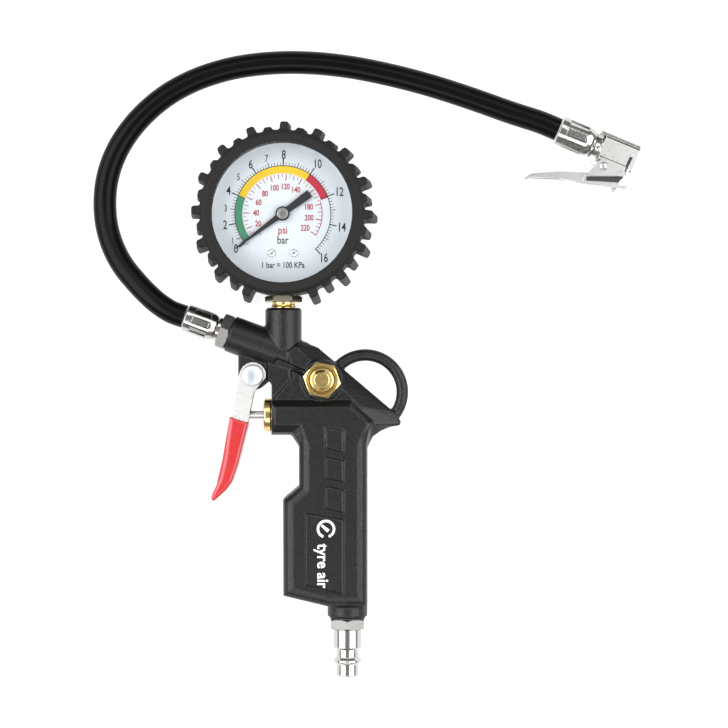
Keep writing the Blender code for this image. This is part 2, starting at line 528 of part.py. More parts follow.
# ---------------------------------------------------------------- hose and its fittings
def hose_line():
    """Catmull-Rom curve through the route, read at even steps."""
    route = [Vector(point) for point in HOSE_ROUTE]
    ends = [route[0] * 2.0 - route[1]] + route + [route[-1] * 2.0 - route[-2]]
    fine = []
    per_span = 12
    for i in range(1, len(ends) - 2):
        a, b, c, d = ends[i - 1:i + 3]
        for k in range(per_span):
            t = k / per_span
            fine.append(0.5 * (2.0 * b + (c - a) * t + (2.0 * a - 5.0 * b + 4.0 * c - d) * t * t
                               + (3.0 * b - a - 3.0 * c + d) * t * t * t))
    fine.append(route[-1])
    last = len(fine) - 1
    return [fine[round(i * last / (HOSE_POINTS - 1))] for i in range(HOSE_POINTS)]


def hose_and_ferrules():
    wire("hose", hose_line(), HOSE_R, HOSE_RUBBER, FRAME, sides=4)
    angle = math.radians(BARREL_ANGLE + 180.0)
    outwards = lying((math.cos(angle), math.sin(angle), 0.0))
    end = place(*BARREL_END)
    body = [(0.0, 20.2), (3.0, 20.2), (3.0, 6.2), (5.2, 6.2), (5.2, 4.0), (5.2, 0.6), (4.6, GAP),
            (4.6, -11.0), (0.0, -11.0)]
    fitting = turned("hose_fitting", body, NICKEL, end, outwards, 24)
    join(fitting, add("fitting_hex", flat(hexagon(8.0, 30.0), GAP, 4.6), NICKEL, end, outwards,
                      cutter=True))
    cut_rod(fitting, "fitting_bore", 1.8, -13.0, 22.0, end, outwards, 12)
    crimp = [(3.4, 20.4), (6.0, 20.4), (6.0, 8.0), (5.2, 6.5), (3.4, 6.5)]
    turned("ferrule_gun", crimp, NICKEL, end, outwards, 28, closed=True)


def chuck():
    """Chuck pieces share one origin: the hose end of the ferrule, with their own x along the chuck."""
    origin = place(*CHUCK, CHUCK_W)
    angle = math.radians(CHUCK_ANGLE)
    flat_turn = (0.0, 0.0, angle)
    along = lying((math.cos(angle), math.sin(angle), 0.0))
    spin = Matrix.Rotation(angle, 4, "Z")

    def local(x, y, z=0.0):
        return origin + spin @ (Vector((x, y, z)) * MM)

    crimp = [(3.5, 15.2), (5.0, 15.2), (6.3, 13.4), (6.4, 0.0), (3.5, 0.0)]
    turned("ferrule_chuck", crimp, NICKEL, origin, along, 28, closed=True)
    axis = local(0.0, -0.5)
    core = [(0.0, 30.6), (4.7, 30.6), (5.0, 30.2), (5.0, 19.2), (4.2, 18.6), (4.2, 17.0), (5.6, 16.4),
            (5.6, 15.5), (2.7, 15.5), (2.7, GAP), (0.0, GAP)]
    body = turned("chuck_body", core, BRASS, axis, along, 24)
    cut_rod(body, "chuck_mouth", 4.1, 24.0, 32.0, axis, along, 24)
    cut_rod(body, "chuck_passage", 1.3, -1.0, 25.0, axis, along, 12)
    ring("chuck_gasket", 3.8, 1.9, 24.3, 27.2, SEAL, axis, along, 20)
    rod("chuck_core_pin", 0.8, 18.0, 28.0, STEEL, axis, along, 10)

    high = 5.0
    sheet = 1.0
    wall_in = 5.6
    shell = add("chuck_shell", flat([(16.9, high), (16.9, high + sheet), (35.4, high + sheet),
                                     (35.4, high)], -wall_in - sheet, wall_in + sheet), STEEL,
                origin, flat_turn)
    side = [(19.7, high + 0.5), (19.7, -5.6), (33.2, -5.6), (34.0, -6.1), (35.4, -6.1),
            (35.4, high + 0.5)]
    ear = [(21.6, -4.6), (18.0, -14.6), (34.0, -8.2), (34.0, -5.0), (32.0, -4.6)]
    for name, low in (("upper", wall_in), ("lower", -wall_in - sheet)):
        join(shell, add(f"shell_side_{name}", flat(side, low, low + sheet), STEEL, origin, flat_turn,
                        cutter=True))
        shift = 0.5 if name == "upper" else -0.5
        join(shell, add(f"shell_ear_{name}", flat(ear, low + shift, low + shift + sheet), STEEL,
                        origin, flat_turn, cutter=True))
    pivot = (23.5, -7.85)
    cut_rod(shell, "chuck_pin_hole", 1.6, -9.0, 9.0, local(*pivot), steps=16)
    slit = [(32.4, -7.0), (33.4, -7.0), (33.4, 0.0), (32.4, 0.0)]
    cut(shell, add("shell_slit", flat(slit, -9.0, 9.0), STEEL, origin, flat_turn, cutter=True))

    rivet = [(0.0, 8.0), (1.1, 7.9), (1.7, 7.5), (1.3, 7.5), (1.3, -7.5), (1.7, -7.5), (1.7, -7.9),
             (0.0, -7.9)]
    turned("chuck_lever_pin", rivet, STEEL, local(*pivot), flat_turn, 14)

    thumb_line = [(-29.4, -17.0), (-26.0, -14.3), (-17.0, -10.3), (-6.2, -9.2), (7.5, -5.4),
                  (12.7, -4.0)]
    thumb = [(x, y) for x, y in reversed(thumb_line)] + [(x + 0.2, y - 1.2) for x, y in thumb_line]
    lever = add("chuck_lever", flat(thumb, -5.0, 5.0), STEEL, local(*pivot), flat_turn)
    web = [(-6.6, -9.8), (8.4, -5.6), (3.0, 2.0), (-2.0, 2.0)]
    for name, low in (("upper", 4.0), ("lower", -5.0)):
        join(lever, add(f"thumb_web_{name}", flat(web, low, low + 1.0), STEEL, local(*pivot),
                        flat_turn, cutter=True))
    jaw = [(7.4, -8.6), (8.8, -8.6), (9.2, 0.9), (8.0, 0.9)]
    join(lever, add("thumb_jaw", flat(jaw, -3.0, 3.0), STEEL, local(*pivot), flat_turn, cutter=True))
    cut_rod(lever, "thumb_hole", 1.6, -9.0, 9.0, local(*pivot), steps=16)

    turns = 4.0
    steps = 12
    count = int(turns * steps)
    spring = [(-6.2, -5.6, -2.6), (-1.0, -1.9, -2.6)]
    for i in range(count + 1):
        bend = 2.0 * math.pi * i / steps - math.pi / 2.0
        spring.append((1.75 * math.cos(bend), 1.75 * math.sin(bend), -2.4 + 4.8 * i / count))
    spring += [(-2.2, -1.4, 2.6), (-6.4, 0.2, 2.6)]
    wire("chuck_spring", spring, 0.25, STEEL, local(*pivot), flat_turn, sides=1)


gun_body()
hanging_loop()
main_valve()
lever_pieces()
bleed_valve()
inlet()
gauge_boot()
gauge_case()
gauge_dial()
pointer()
movement()
pressure_parts()
hose_and_ferrules()
chuck()

for piece in PARTS.objects:
    if piece.type == "MESH":
        piece.data.shade_smooth()
        piece.data.set_sharp_from_angle(angle=math.radians(35.0))
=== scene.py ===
"""Looks of the tyre inflator with gauge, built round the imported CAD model.

Design sizes are in millimetres in the gun's own plane, as in the CAD: u to the right, v up the
handle towards the gauge, w out of the upper side, from the gauge's axis on the gun's middle plane.
"""
import math

import bmesh
import bpy
from mathutils import Matrix, Vector


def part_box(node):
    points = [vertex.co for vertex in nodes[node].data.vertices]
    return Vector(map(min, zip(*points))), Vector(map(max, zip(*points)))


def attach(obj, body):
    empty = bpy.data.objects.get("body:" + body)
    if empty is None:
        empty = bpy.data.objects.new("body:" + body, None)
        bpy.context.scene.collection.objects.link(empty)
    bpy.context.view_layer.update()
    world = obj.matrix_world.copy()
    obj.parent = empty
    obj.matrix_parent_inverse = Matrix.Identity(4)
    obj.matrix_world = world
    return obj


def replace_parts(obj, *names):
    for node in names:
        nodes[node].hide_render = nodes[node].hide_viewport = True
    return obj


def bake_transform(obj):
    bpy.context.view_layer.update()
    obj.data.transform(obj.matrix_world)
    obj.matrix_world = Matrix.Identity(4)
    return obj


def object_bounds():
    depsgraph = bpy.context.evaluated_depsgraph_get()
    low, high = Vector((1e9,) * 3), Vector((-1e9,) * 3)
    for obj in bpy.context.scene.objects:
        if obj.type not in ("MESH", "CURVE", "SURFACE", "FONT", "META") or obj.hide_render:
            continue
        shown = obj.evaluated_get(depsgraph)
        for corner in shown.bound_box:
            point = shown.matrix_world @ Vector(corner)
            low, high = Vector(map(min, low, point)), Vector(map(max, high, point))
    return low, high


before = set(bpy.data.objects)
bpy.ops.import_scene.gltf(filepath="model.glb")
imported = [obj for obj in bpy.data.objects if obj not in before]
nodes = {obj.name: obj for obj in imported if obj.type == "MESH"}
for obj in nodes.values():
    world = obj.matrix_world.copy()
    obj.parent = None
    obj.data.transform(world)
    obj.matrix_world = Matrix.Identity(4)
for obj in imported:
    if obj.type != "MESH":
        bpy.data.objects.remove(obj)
cad_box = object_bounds()

MM = 0.001


def middle(node):
    """Middle of a CAD node's box."""
    low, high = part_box(node)
    return (low + high) / 2.0


GAUGE = middle("gauge_bezel")
MIDDLE = middle("inlet_plug").z
ZERO = Vector((GAUGE.x, GAUGE.y, MIDDLE))
FLOOR_Z = cad_box[0].z


def at(u, v, w=0.0):
    """Scene point of a place given in the gun's own millimetres."""
    return ZERO + Vector((u, v, w)) * MM


# ---------------------------------------------------------------- driving sizes, as in the CAD
BARREL_END, BARREL_ANGLE = (-22.9, -50.9), -20.2
CHUCK, CHUCK_ANGLE = (119.0, 37.3, -6.0), -22.5
REST_HAND_ANGLE = 216.5
HOSE_R = 5.0
HOSE_LOW = -8.8                # height of the hose's axis where it lies on the surface


# ---------------------------------------------------------------- camera
VIEW_CENTRE = (34.6, -64.0)
CAMERA_HEIGHT = 900.0
FIELD = 313.0
SENSOR = 36.0

camera_data = bpy.data.cameras.new("camera")
camera_data.sensor_width = SENSOR
camera_data.lens = SENSOR * CAMERA_HEIGHT / FIELD
camera_data.clip_start = 0.01
camera_data.clip_end = 20.0
camera = bpy.data.objects.new("camera", camera_data)
camera.location = at(*VIEW_CENTRE, CAMERA_HEIGHT)
bpy.context.scene.collection.objects.link(camera)
bpy.context.scene.camera = camera


# ---------------------------------------------------------------- materials
def node_of(tree, kind, **values):
    """A new shader node with its settings."""
    made = tree.nodes.new(kind)
    for key, value in values.items():
        setattr(made, key, value)
    return made


def surface(name, colour, roughness, metallic=0.0, variation=0.12, patch=60.0, rough_spread=0.08,
            grain=2200.0, bump=0.12, bump_size=0.00004, coat=0.0, specular=0.5, stretch=(1.0, 1.0, 1.0),
            place_by="Object"):
    """Principled surface whose colour and roughness drift in patches and whose grain is a bump."""
    made = bpy.data.materials.new(name)
    made.use_nodes = True
    tree = made.node_tree
    shader = tree.nodes["Principled BSDF"]
    shader.inputs["Metallic"].default_value = metallic
    shader.inputs["Coat Weight"].default_value = coat
    shader.inputs["Coat Roughness"].default_value = 0.2
    shader.inputs["Specular IOR Level"].default_value = specular
    place = node_of(tree, "ShaderNodeTexCoord")
    mapping = node_of(tree, "ShaderNodeMapping")
    mapping.inputs["Scale"].default_value = stretch
    tree.links.new(place.outputs[place_by], mapping.inputs["Vector"])

    patches = node_of(tree, "ShaderNodeTexNoise")
    patches.inputs["Scale"].default_value = patch
    patches.inputs["Detail"].default_value = 4.0
    tree.links.new(mapping.outputs["Vector"], patches.inputs["Vector"])
    mix = node_of(tree, "ShaderNodeMix", data_type="RGBA")
    mix.inputs["A"].default_value = (*[c * (1.0 - variation) for c in colour], 1.0)
    mix.inputs["B"].default_value = (*[min(1.0, c * (1.0 + variation)) for c in colour], 1.0)
    tree.links.new(patches.outputs["Fac"], mix.inputs["Factor"])
    tree.links.new(mix.outputs["Result"], shader.inputs["Base Color"])

    fine = node_of(tree, "ShaderNodeTexNoise")
    fine.inputs["Scale"].default_value = grain
    fine.inputs["Detail"].default_value = 3.0
    tree.links.new(mapping.outputs["Vector"], fine.inputs["Vector"])
    spread = node_of(tree, "ShaderNodeMapRange")
    spread.inputs["To Min"].default_value = max(0.02, roughness - rough_spread)
    spread.inputs["To Max"].default_value = roughness + rough_spread
    tree.links.new(fine.outputs["Fac"], spread.inputs["Value"])
    tree.links.new(spread.outputs["Result"], shader.inputs["Roughness"])
    relief = node_of(tree, "ShaderNodeBump")
    relief.inputs["Strength"].default_value = bump
    relief.inputs["Distance"].default_value = bump_size
    tree.links.new(fine.outputs["Fac"], relief.inputs["Height"])
    tree.links.new(relief.outputs["Normal"], shader.inputs["Normal"])
    return made


CASTING = surface("casting", (0.0050, 0.0053, 0.0060), 0.34, variation=0.25, grain=1100.0, bump=1.0,
                  bump_size=0.0002, rough_spread=0.1, specular=0.34)
BOOT = surface("boot", (0.0075, 0.0072, 0.0069), 0.6, variation=0.18, grain=1500.0, bump=0.6,
               rough_spread=0.1, specular=0.22)
HOSE = surface("hose", (0.0028, 0.0028, 0.0034), 0.25, variation=0.3, patch=8.0, grain=16.0, bump=0.5,
               bump_size=0.0002, rough_spread=0.05, specular=0.09, stretch=(60.0, 1.0, 1.0),
               place_by="UV")
SEAL = surface("seal", (0.02, 0.02, 0.02), 0.6)
STEEL = surface("steel", (0.66, 0.66, 0.65), 0.3, 1.0, variation=0.04, grain=1100.0, bump=0.1)
BRIGHT_STEEL = surface("bright_steel", (0.80, 0.80, 0.79), 0.38, 1.0, variation=0.03, grain=900.0)
ZINC = surface("zinc", (0.50, 0.54, 0.58), 0.42, 1.0, variation=0.2, patch=500.0, grain=900.0)
# painted shade: near-black steel, used only for strips and plates that stand in for the shadows in the
# chuck's gaps and inside the thumb lever's channel
PAINTED_SHADE_STEEL = surface("painted_shade_steel", (0.035, 0.034, 0.032), 0.5, 0.5)
NICKEL = surface("nickel", (0.52, 0.51, 0.49), 0.19, 1.0, variation=0.04, grain=900.0, bump=0.08)
NUT = surface("nut", (0.24, 0.235, 0.225), 0.42, 1.0, variation=0.06, grain=900.0)
BRASS = surface("brass", (0.86, 0.63, 0.25), 0.24, 1.0, variation=0.08, grain=1100.0, bump=0.1)
PALE_BRASS = surface("pale_brass", (0.84, 0.77, 0.58), 0.2, 1.0, variation=0.12, grain=1300.0)
SLEEVE = surface("sleeve", (0.42, 0.014, 0.018), 0.32, variation=0.1, grain=400.0, bump=0.06, coat=0.5)
DIAL = surface("dial", (0.56, 0.58, 0.61), 0.42, variation=0.012, grain=1500.0, bump=0.03)
BLACK_INK = surface("black_ink", (0.004, 0.004, 0.005), 0.5, bump=0.02)
RED_INK = surface("red_ink", (0.30, 0.008, 0.014), 0.5, bump=0.02)
GREEN_INK = surface("green_ink", (0.035, 0.19, 0.10), 0.5, bump=0.02)
YELLOW_INK = surface("yellow_ink", (0.64, 0.40, 0.006), 0.5, bump=0.02)
SCARLET_INK = surface("scarlet_ink", (0.40, 0.005, 0.025), 0.5, bump=0.02)
WHITE_INK = surface("white_ink", (0.85, 0.85, 0.86), 0.45, bump=0.1, grain=900.0)
HAND = surface("hand", (0.010, 0.010, 0.011), 0.38, bump=0.05)


def window_material():
    """Clear sheet whose gloss rises towards a slanting view."""
    made = bpy.data.materials.new("window")
    made.use_nodes = True
    tree = made.node_tree
    tree.nodes.remove(tree.nodes["Principled BSDF"])
    out = tree.nodes["Material Output"]
    clear = node_of(tree, "ShaderNodeBsdfTransparent")
    clear.inputs["Color"].default_value = (0.97, 0.98, 0.985, 1.0)
    gloss = node_of(tree, "ShaderNodeBsdfGlossy")
    gloss.inputs["Roughness"].default_value = 0.03
    slant = node_of(tree, "ShaderNodeLayerWeight")
    slant.inputs["Blend"].default_value = 0.5
    rise = node_of(tree, "ShaderNodeMath", operation="POWER")
    rise.inputs[1].default_value = 5.0      # Schlick's power
    gloss_part = node_of(tree, "ShaderNodeMapRange")
    gloss_part.inputs["To Min"].default_value = 0.02
    gloss_part.inputs["To Max"].default_value = 0.6
    mix = node_of(tree, "ShaderNodeMixShader")
    tree.links.new(slant.outputs["Facing"], rise.inputs[0])
    tree.links.new(rise.outputs["Value"], gloss_part.inputs["Value"])
    tree.links.new(gloss_part.outputs["Result"], mix.inputs["Fac"])
    tree.links.new(clear.outputs["BSDF"], mix.inputs[1])
    tree.links.new(gloss.outputs["BSDF"], mix.inputs[2])
    tree.links.new(mix.outputs["Shader"], out.inputs["Surface"])
    return made


WINDOW = window_material()


# ---------------------------------------------------------------- mesh helpers
def add(name, mesh, look, body, matrix=None):
    """A finished visual piece that rides on a CAD body."""
    made = bpy.data.objects.new(name, mesh)
    bpy.context.scene.collection.objects.link(made)
    if matrix is not None:
        made.matrix_world = matrix
    made.data.materials.clear()
    made.data.materials.append(look)
    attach(made, body)
    return made


def apply_modifiers(piece):
    """The piece's mesh with its modifiers worked in."""
    bpy.context.view_layer.update()
    graph = bpy.context.evaluated_depsgraph_get()
    mesh = bpy.data.meshes.new_from_object(piece.evaluated_get(graph))
    piece.modifiers.clear()
    piece.data = mesh
    return mesh


def smooth(mesh, degrees=35.0):
    mesh.shade_smooth()
    mesh.set_sharp_from_angle(angle=math.radians(degrees))


def loose(name, mesh):
    """A working object that is dropped again or finished later."""
    made = bpy.data.objects.new(name, mesh)
    bpy.context.scene.collection.objects.link(made)
    return made


def drop(piece):
    bpy.data.objects.remove(piece)


def joined(meshes):
    bm = bmesh.new()
    for mesh in meshes:
        bm.from_mesh(mesh)
    made = bpy.data.meshes.new("joined")
    bm.to_mesh(made)
    bm.free()
    return made


def rolled(mesh, width, angle=30.0, segments=2):
    """Hard edges rolled over, with the flats between them shaded flat."""
    smooth(mesh, angle)
    piece = loose("work", mesh)
    roll = piece.modifiers.new("roll", "BEVEL")
    roll.width = width * MM
    roll.segments = segments
    roll.limit_method = "ANGLE"
    roll.angle_limit = math.radians(angle)
    roll.use_clamp_overlap = True
    roll.harden_normals = True
    mesh = apply_modifiers(piece)
    drop(piece)
    return mesh


def edged(node, body, look, width=0.25, angle=30.0, segments=2):
    """The CAD piece with its hard edges rolled over, in place of the CAD node."""
    mesh = nodes[node].data.copy()
    bm = bmesh.new()
    bm.from_mesh(mesh)
    bmesh.ops.remove_doubles(bm, verts=bm.verts, dist=0.000002)
    bmesh.ops.dissolve_limit(bm, angle_limit=math.radians(1.0), verts=bm.verts, edges=bm.edges)
    bm.to_mesh(mesh)
    bm.free()
    mesh = rolled(mesh, width, angle, segments)
    made = add(f"{node}_finish", mesh, look, body)
    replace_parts(made, node)
    return made


def softened(meshes, voxel, passes, factor=0.5):
    """One skin over overlapping closed meshes, with every edge and inside corner rounded."""
    piece = loose("work", joined(meshes))
    skin = piece.modifiers.new("skin", "REMESH")
    skin.mode = "VOXEL"
    skin.voxel_size = voxel * MM
    ease = piece.modifiers.new("ease", "SMOOTH")
    ease.factor = factor
    ease.iterations = passes
    mesh = apply_modifiers(piece)
    drop(piece)
    mesh.shade_smooth()
    return mesh


def turned(profile, steps=96, closed=False):
    """Mesh turned about z from a profile of (radius, height) in millimetres, top down its outside."""
    mesh = bpy.data.meshes.new("turned")
    edges = [(i, i + 1) for i in range(len(profile) - 1)]
    if closed:
        edges.append((len(profile) - 1, 0))
    mesh.from_pydata([(r * MM, 0.0, z * MM) for r, z in profile], edges, [])
    piece = loose("work", mesh)
    screw = piece.modifiers.new("screw", "SCREW")
    screw.steps = screw.render_steps = steps
    screw.use_merge_vertices = True
    screw.merge_threshold = 0.000001
    mesh = apply_modifiers(piece)
    drop(piece)
    smooth(mesh, 30.0)
    return mesh


def flat(outline, low, high):
    """A straight-sided mesh of a flat outline between two heights, in millimetres."""
    bm = bmesh.new()
    rows = [[bm.verts.new(Vector((x, y, z)) * MM) for x, y in outline] for z in (low, high)]
    count = len(outline)
    for i in range(count):
        j = (i + 1) % count
        bm.faces.new((rows[0][i], rows[0][j], rows[1][j], rows[1][i]))
    bm.faces.new(list(reversed(rows[0])))
    bm.faces.new(rows[1])
    bmesh.ops.recalc_face_normals(bm, faces=bm.faces)
    mesh = bpy.data.meshes.new("flat")
    bm.to_mesh(mesh)
    bm.free()
    return mesh


def boolean(mesh, other, operation):
    piece = loose("work", mesh)
    tool = loose("tool", other)
    change = piece.modifiers.new("change", "BOOLEAN")
    change.operation = operation
    change.object = tool
    change.solver = "EXACT"
    result = apply_modifiers(piece)
    drop(piece)
    drop(tool)
    return result


def facing(direction, origin):
    """Places a turned mesh so that its own z runs along a direction."""
    turn = Vector(direction).to_track_quat("Z", "Y").to_matrix().to_4x4()
    return Matrix.Translation(origin) @ turn


def hexagon(radius, turn=0.0):
    angles = [math.radians(60.0 * i + turn) for i in range(6)]
    return [(radius * math.cos(a), radius * math.sin(a)) for a in angles]


def hex_block(radius, low, high, turn=0.0, chamfer=0.9):
    """A hexagon whose corners are turned away at both ends, as on a nut."""
    block = flat(hexagon(radius, turn), low, high)
    reach = radius + 0.05
    cone = turned([(0.0, high), (radius - chamfer, high), (reach, high - chamfer * 0.62),
                   (reach, low + chamfer * 0.62), (radius - chamfer, low), (0.0, low)], 48)
    mesh = boolean(block, cone, "INTERSECT")
    smooth(mesh, 12.0)
    return mesh


def ring_arc(radius_in, radius_out, start, end, low, high, step=1.5):
    """A flat arc band from one angle clockwise to another, in degrees."""
    count = max(2, int(abs(start - end) / step))
    angles = [math.radians(start + (end - start) * i / count) for i in range(count + 1)]
    outer = [(radius_out * math.cos(a), radius_out * math.sin(a)) for a in angles]
    inner = [(radius_in * math.cos(a), radius_in * math.sin(a)) for a in reversed(angles)]
    return flat(outer + inner, low, high)


def lettering(text, size, where, turn=0.0, squeeze=0.72, weight=0.0):
    """Generic dial lettering as a thin mesh, centred on a point, in millimetres."""
    curve = bpy.data.curves.new("text", "FONT")
    curve.body = text
    curve.size = size * MM
    curve.align_x = "CENTER"
    curve.align_y = "CENTER"
    curve.extrude = PRINT_THICK * MM / 2.0
    curve.offset = weight * MM
    curve.resolution_u = 3
    piece = loose("work", curve)
    graph = bpy.context.evaluated_depsgraph_get()
    mesh = bpy.data.meshes.new_from_object(piece.evaluated_get(graph))
    drop(piece)
    x, y = where
    mesh.transform(Matrix.Translation(Vector((x, y, PRINT_W)) * MM)
                   @ Matrix.Rotation(math.radians(turn), 4, "Z") @ Matrix.Diagonal((squeeze, 1, 1, 1)))
    return mesh


# ---------------------------------------------------------------- hose (its route repeats the CAD's)
HOSE_ROUTE = [
    (-42.5, -43.69, 0.0), (-48.6, -41.4, -0.1), (-54.6, -37.4, -0.6), (-60.0, -32.5, -1.5),
    (-64.8, -27.3, -2.6), (-68.7, -22.6, -3.6), (-72.2, -17.0, -4.7), (-75.2, -10.0, -5.9),
    (-77.2, -2.0, -7.1), (-77.8, 7.0, -8.1), (-76.9, 16.0, -8.6), (-74.2, 25.0, HOSE_LOW),
    (-69.6, 33.8, HOSE_LOW), (-62.9, 42.4, HOSE_LOW), (-54.4, 50.2, HOSE_LOW),
    (-44.8, 56.4, HOSE_LOW), (-33.5, 61.3, HOSE_LOW), (-20.0, 64.9, HOSE_LOW),
    (-4.5, 66.7, HOSE_LOW), (11.5, 66.7, HOSE_LOW), (28.0, 65.0, HOSE_LOW),
    (45.0, 61.7, HOSE_LOW), (62.5, 57.2, HOSE_LOW), (80.0, 51.6, -8.6), (98.0, 45.1, -7.6),
    (110.4, 40.87, -6.2), (118.72, 37.42, -6.0),
]


def smooth_line(route, per_span):
    points = [Vector(p) for p in route]
    ends = [points[0] * 2.0 - points[1]] + points + [points[-1] * 2.0 - points[-2]]
    line = []
    for i in range(1, len(ends) - 2):
        a, b, c, d = ends[i - 1:i + 3]
        for k in range(per_span):
            t = k / per_span
            line.append(0.5 * (2.0 * b + (c - a) * t + (2.0 * a - 5.0 * b + 4.0 * c - d) * t * t
                               + (3.0 * b - a - 3.0 * c + d) * t * t * t))
    line.append(points[-1])
    return line


def swept(points, radius, sides=28):
    """A closed tube along points, with a UV that runs along it and round it in metres."""
    bm = bmesh.new()
    lines = bm.loops.layers.uv.new("along")
    up = Vector((0.0, 0.0, 1.0))
    rows = []
    reach = 0.0
    runs = []
    for i, point in enumerate(points):
        before = points[max(0, i - 1)]
        after = points[min(len(points) - 1, i + 1)]
        direction = (after - before).normalized()
        across = direction.cross(up).normalized()
        lift = across.cross(direction)
        angles = [2.0 * math.pi * k / sides for k in range(sides)]
        rows.append([bm.verts.new(point + across * (radius * math.cos(a)) + lift * (radius * math.sin(a)))
                     for a in angles])
        reach += (point - points[i - 1]).length if i else 0.0
        runs.append(reach)
    for i in range(len(rows) - 1):
        for k in range(sides):
            n = (k + 1) % sides
            face = bm.faces.new((rows[i][k], rows[i][n], rows[i + 1][n], rows[i + 1][k]))
            for corner, (row, step) in zip(face.loops, ((i, k), (i, k + 1), (i + 1, k + 1), (i + 1, k))):
                corner[lines].uv = (2.0 * math.pi * radius * step / sides, runs[row])
    bm.faces.new(list(reversed(rows[0])))
    bm.faces.new(rows[-1])
    bmesh.ops.recalc_face_normals(bm, faces=bm.faces)
    mesh = bpy.data.meshes.new("swept")
    bm.to_mesh(mesh)
    bm.free()
    smooth(mesh, 50.0)
    return mesh, reach


def make_hose():
    """The rubber hose, its axis and its length."""
    line = [at(*p) for p in smooth_line(HOSE_ROUTE, 6)]
    mesh, length = swept(line, HOSE_R * MM)
    made = add("hose_tube", mesh, HOSE, "gun")
    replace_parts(made, "hose")
    return made, line, length


# ---------------------------------------------------------------- body casting
LOOP_CENTRE, LOOP_R, LOOP_ROD = (35.2, -76.0), 15.9, 2.6
LOOP_START, LOOP_SWEEP, LOOP_STEPS = 146.0, 194.0, 48
PORT_R, PORT_FOOT, PORT_PROUD = 7.8, 61.6, 0.4
PORT_TOP, PORT_BORE, PORT_BORE_END = 39.9, 5.0, 52.0
GROOVE_AT, GROOVE_LONG, GROOVE_WIDE, GROOVE_LOW = (3.2, -65.2), 13.6, 2.4, 5.6
GROOVE_TOP, GROOVE_TURN = 12.0, math.radians(-23.0)


def loop_rod():
    """The hanging loop as a closed round bar, whose ends run into the casting."""
    angles = [math.radians(LOOP_START - LOOP_SWEEP * i / LOOP_STEPS) for i in range(LOOP_STEPS + 1)]
    curve = bpy.data.curves.new("loop", "CURVE")
    curve.dimensions = "3D"
    curve.bevel_depth = LOOP_ROD * MM
    curve.bevel_resolution = 6
    curve.use_fill_caps = True
    spline = curve.splines.new("POLY")
    spline.points.add(len(angles) - 1)
    for slot, a in zip(spline.points, angles):
        point = at(LOOP_CENTRE[0] + LOOP_R * math.cos(a), LOOP_CENTRE[1] + LOOP_R * math.sin(a))
        slot.co = (*point, 1.0)
    piece = loose("work", curve)
    graph = bpy.context.evaluated_depsgraph_get()
    loop = bpy.data.meshes.new_from_object(piece.evaluated_get(graph))
    drop(piece)
    bm = bmesh.new()
    bm.from_mesh(loop)
    bmesh.ops.remove_doubles(bm, verts=bm.verts, dist=0.000001)
    bmesh.ops.recalc_face_normals(bm, faces=bm.faces)
    bm.to_mesh(loop)
    bm.free()
    return loop


def make_casting():
    """Body and loop as one casting, with the port's rounded foot and the groove under the barrel."""
    body = boolean(nodes["gun_body"].data.copy(), loop_rod(), "UNION")
    tube = turned([(0.0, PORT_FOOT), (PORT_R - 4.2, PORT_FOOT - 0.3), (PORT_R - 1.6, PORT_FOOT - 1.3),
                   (PORT_R - 0.5, PORT_FOOT - 2.6), (PORT_R, PORT_FOOT - 4.6), (PORT_R, PORT_TOP + 0.9),
                   (PORT_R - 0.9, PORT_TOP), (PORT_BORE, PORT_TOP), (PORT_BORE, PORT_BORE_END),
                   (0.0, PORT_BORE_END)], 64)
    tube.transform(facing((0.0, -1.0, 0.0), at(0.0, 0.0, PORT_PROUD)))
    body = boolean(body, tube, "UNION")
    groove = flat([(-GROOVE_LONG / 2.0, -GROOVE_WIDE / 2.0), (GROOVE_LONG / 2.0, -GROOVE_WIDE / 2.0),
                   (GROOVE_LONG / 2.0, GROOVE_WIDE / 2.0), (-GROOVE_LONG / 2.0, GROOVE_WIDE / 2.0)],
                  GROOVE_LOW, GROOVE_TOP)
    groove.transform(Matrix.Translation(at(*GROOVE_AT)) @ Matrix.Rotation(GROOVE_TURN, 4, "Z"))
    body = boolean(body, groove, "DIFFERENCE")
    voxel = 0.4
    mesh = softened([body], voxel, 3)
    made = add("casting_finish", mesh, CASTING, "gun")
    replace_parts(made, "gun_body", "hanging_loop")
    return made


# ---------------------------------------------------------------- gauge
DIAL_W = (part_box("gauge_dial")[1].z - MIDDLE) / MM
PRINT_THICK = 0.06
PRINT_W = DIAL_W + PRINT_THICK / 2.0 + 0.01
PRINT_LOW, PRINT_HIGH = DIAL_W + 0.01, DIAL_W + 0.01 + PRINT_THICK
DIAL_UNIT = 0.4265
BAND_IN, BAND_OUT = 40.4 * DIAL_UNIT, 47.6 * DIAL_UNIT
BAR_AT_ONE, BAR_STEP, BAR_ZERO = 208.8, 17.05, 217.5
PSI_PER_BAR = 14.504


def bar_angle(value):
    """The bar scale starts short of 1 bar and is even from there on."""
    if value < 1.0:
        return BAR_ZERO + (BAR_AT_ONE - BAR_ZERO) * value
    return BAR_AT_ONE - BAR_STEP * (value - 1.0)


def polar(radius, degrees):
    a = math.radians(degrees)
    return radius * math.cos(a), radius * math.sin(a)


def tick(radius_in, radius_out, degrees, width):
    mesh = flat([(radius_in, -width / 2.0), (radius_out, -width / 2.0), (radius_out, width / 2.0),
                 (radius_in, width / 2.0)], PRINT_LOW, PRINT_HIGH)
    mesh.transform(Matrix.Rotation(math.radians(degrees), 4, "Z"))
    return mesh


